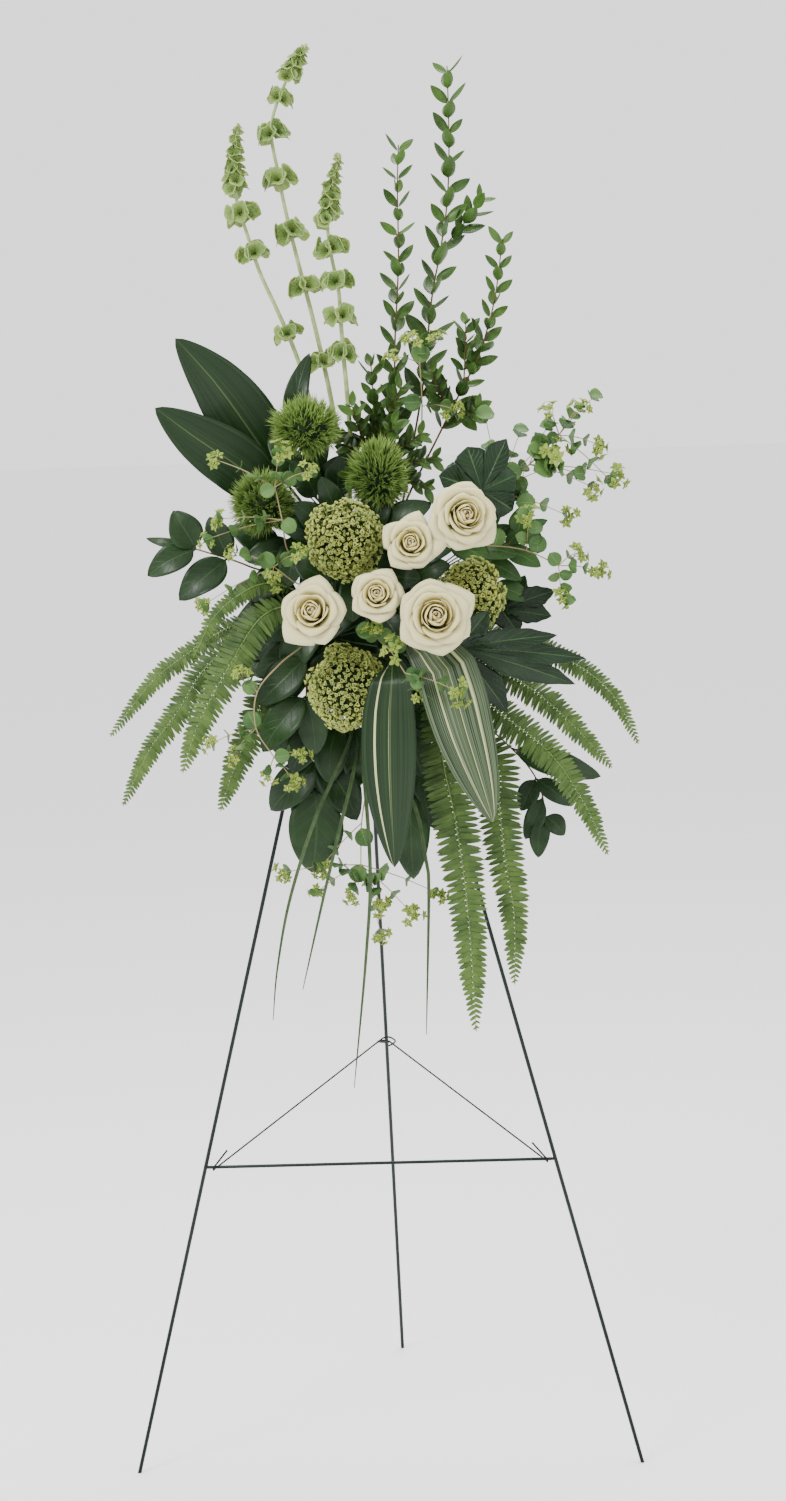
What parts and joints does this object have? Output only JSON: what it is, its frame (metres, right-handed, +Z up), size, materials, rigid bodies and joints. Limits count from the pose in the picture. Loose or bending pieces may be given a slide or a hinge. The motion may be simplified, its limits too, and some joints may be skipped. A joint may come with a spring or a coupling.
{
  "type": "standing funeral spray on a wire easel",
  "caption": "Standing spray of white roses, green flower heads, ferns and leaves in caged floral foam, hung on a folding three-legged wire easel.",
  "frame": {"origin": "on the floor, midway between the two front feet and half way in depth between the front feet and the back foot, near the middle of the bounding box", "axes": "+Z up, +X the viewer's right, -Y towards the viewer"},
  "size_m": [0.6401, 0.59, 1.7226],
  "materials": {
    "easel_green_paint": "satin",
    "brace_dark_wire": "satin",
    "foam_green": "matte",
    "cage_green": "satin",
    "bell_green": "soft satin",
    "myrtle_green": "satin",
    "moss_green": "matte",
    "olive_green": "matte",
    "rose_white": "soft satin",
    "strap_green": "glossy",
    "dark_green": "glossy",
    "fern_green": "satin",
    "salal_green": "satin",
    "fresh_green": "satin",
    "lime_green": "satin",
    "grass_green": "satin"
  },
  "bodies": {
    "easel": {"aralia_leaf_large": "dark_green", "aralia_leaf_small": "dark_green", "aspidistra_leaf_left": "strap_green", "aspidistra_leaf_low_left": "strap_green", "aspidistra_leaf_low_right": "strap_green", "aspidistra_leaf_upper": "strap_green", "bear_grass": "grass_green", "bells_of_ireland_left": "bell_green", "bells_of_ireland_middle": "bell_green", "bells_of_ireland_right": "bell_green", "bupleurum_bottom": "lime_green", "bupleurum_centre": "lime_green", "bupleurum_left_high": "lime_green", "bupleurum_left_low": "lime_green", "bupleurum_low_left": "lime_green", "bupleurum_right_high": "lime_green", "bupleurum_right_low": "lime_green", "bupleurum_top": "lime_green", "cross_bar": "easel_green_paint", "dianthus_ball_left": "moss_green", "dianthus_ball_low": "moss_green", "dianthus_ball_middle": "moss_green", "fern_frond_hanging_left": "fern_green", "fern_frond_hanging_right": "fern_green", "fern_frond_left_front": "fern_green", "fern_frond_left_long": "fern_green", "fern_frond_left_low": "fern_green", "fern_frond_left_short": "fern_green", "fern_frond_left_small": "fern_green", "fern_frond_right_far": "fern_green", "fern_frond_right_low": "fern_green", "fern_frond_right_middle": "fern_green", "foam_block": "foam_green", "foam_cage": "cage_green", "front_leg_left": "easel_green_paint", "front_leg_right": "easel_green_paint", "hydrangea_head_bottom": "olive_green", "hydrangea_head_right": "olive_green", "hydrangea_head_top": "olive_green", "ivy_leaf": "dark_green", "light_leaves_right": "fresh_green", "myrtle_branch_middle": "myrtle_green", "myrtle_branch_right": "myrtle_green", "myrtle_branch_short": "myrtle_green", "myrtle_branch_tall": "myrtle_green", "rose_left": "rose_white", "rose_lower_right": "rose_white", "rose_middle": "rose_white", "rose_upper_middle": "rose_white", "rose_upper_right": "rose_white", "ruscus_leaf_behind": "salal_green", "salal_bottom_left": "salal_green", "salal_bottom_right": "salal_green", "salal_centre": "salal_green", "salal_left": "salal_green", "salal_right": "salal_green", "top_bar": "easel_green_paint"},
    "back_leg": {"back_leg": "easel_green_paint"},
    "brace": {"brace_wire_left": "brace_dark_wire", "brace_wire_right": "brace_dark_wire"}
  },
  "joints": [
    {"name": "back_leg_fold", "type": "hinge", "parent": "easel", "child": "back_leg", "pos_m": [0, -0.03, 1.17591], "axis": [-1, 0, 0], "range_deg": [0, 19.8]},
    {"name": "brace_swing", "type": "hinge", "parent": "back_leg", "child": "brace", "pos_m": [0, 0.16358, 0.461], "axis": [1, 0, 0], "range_deg": [0, 86]}
  ],
  "couplings": [
    {"joint": "brace_swing", "follows": "back_leg_fold", "ratio": 4.34}
  ]
}
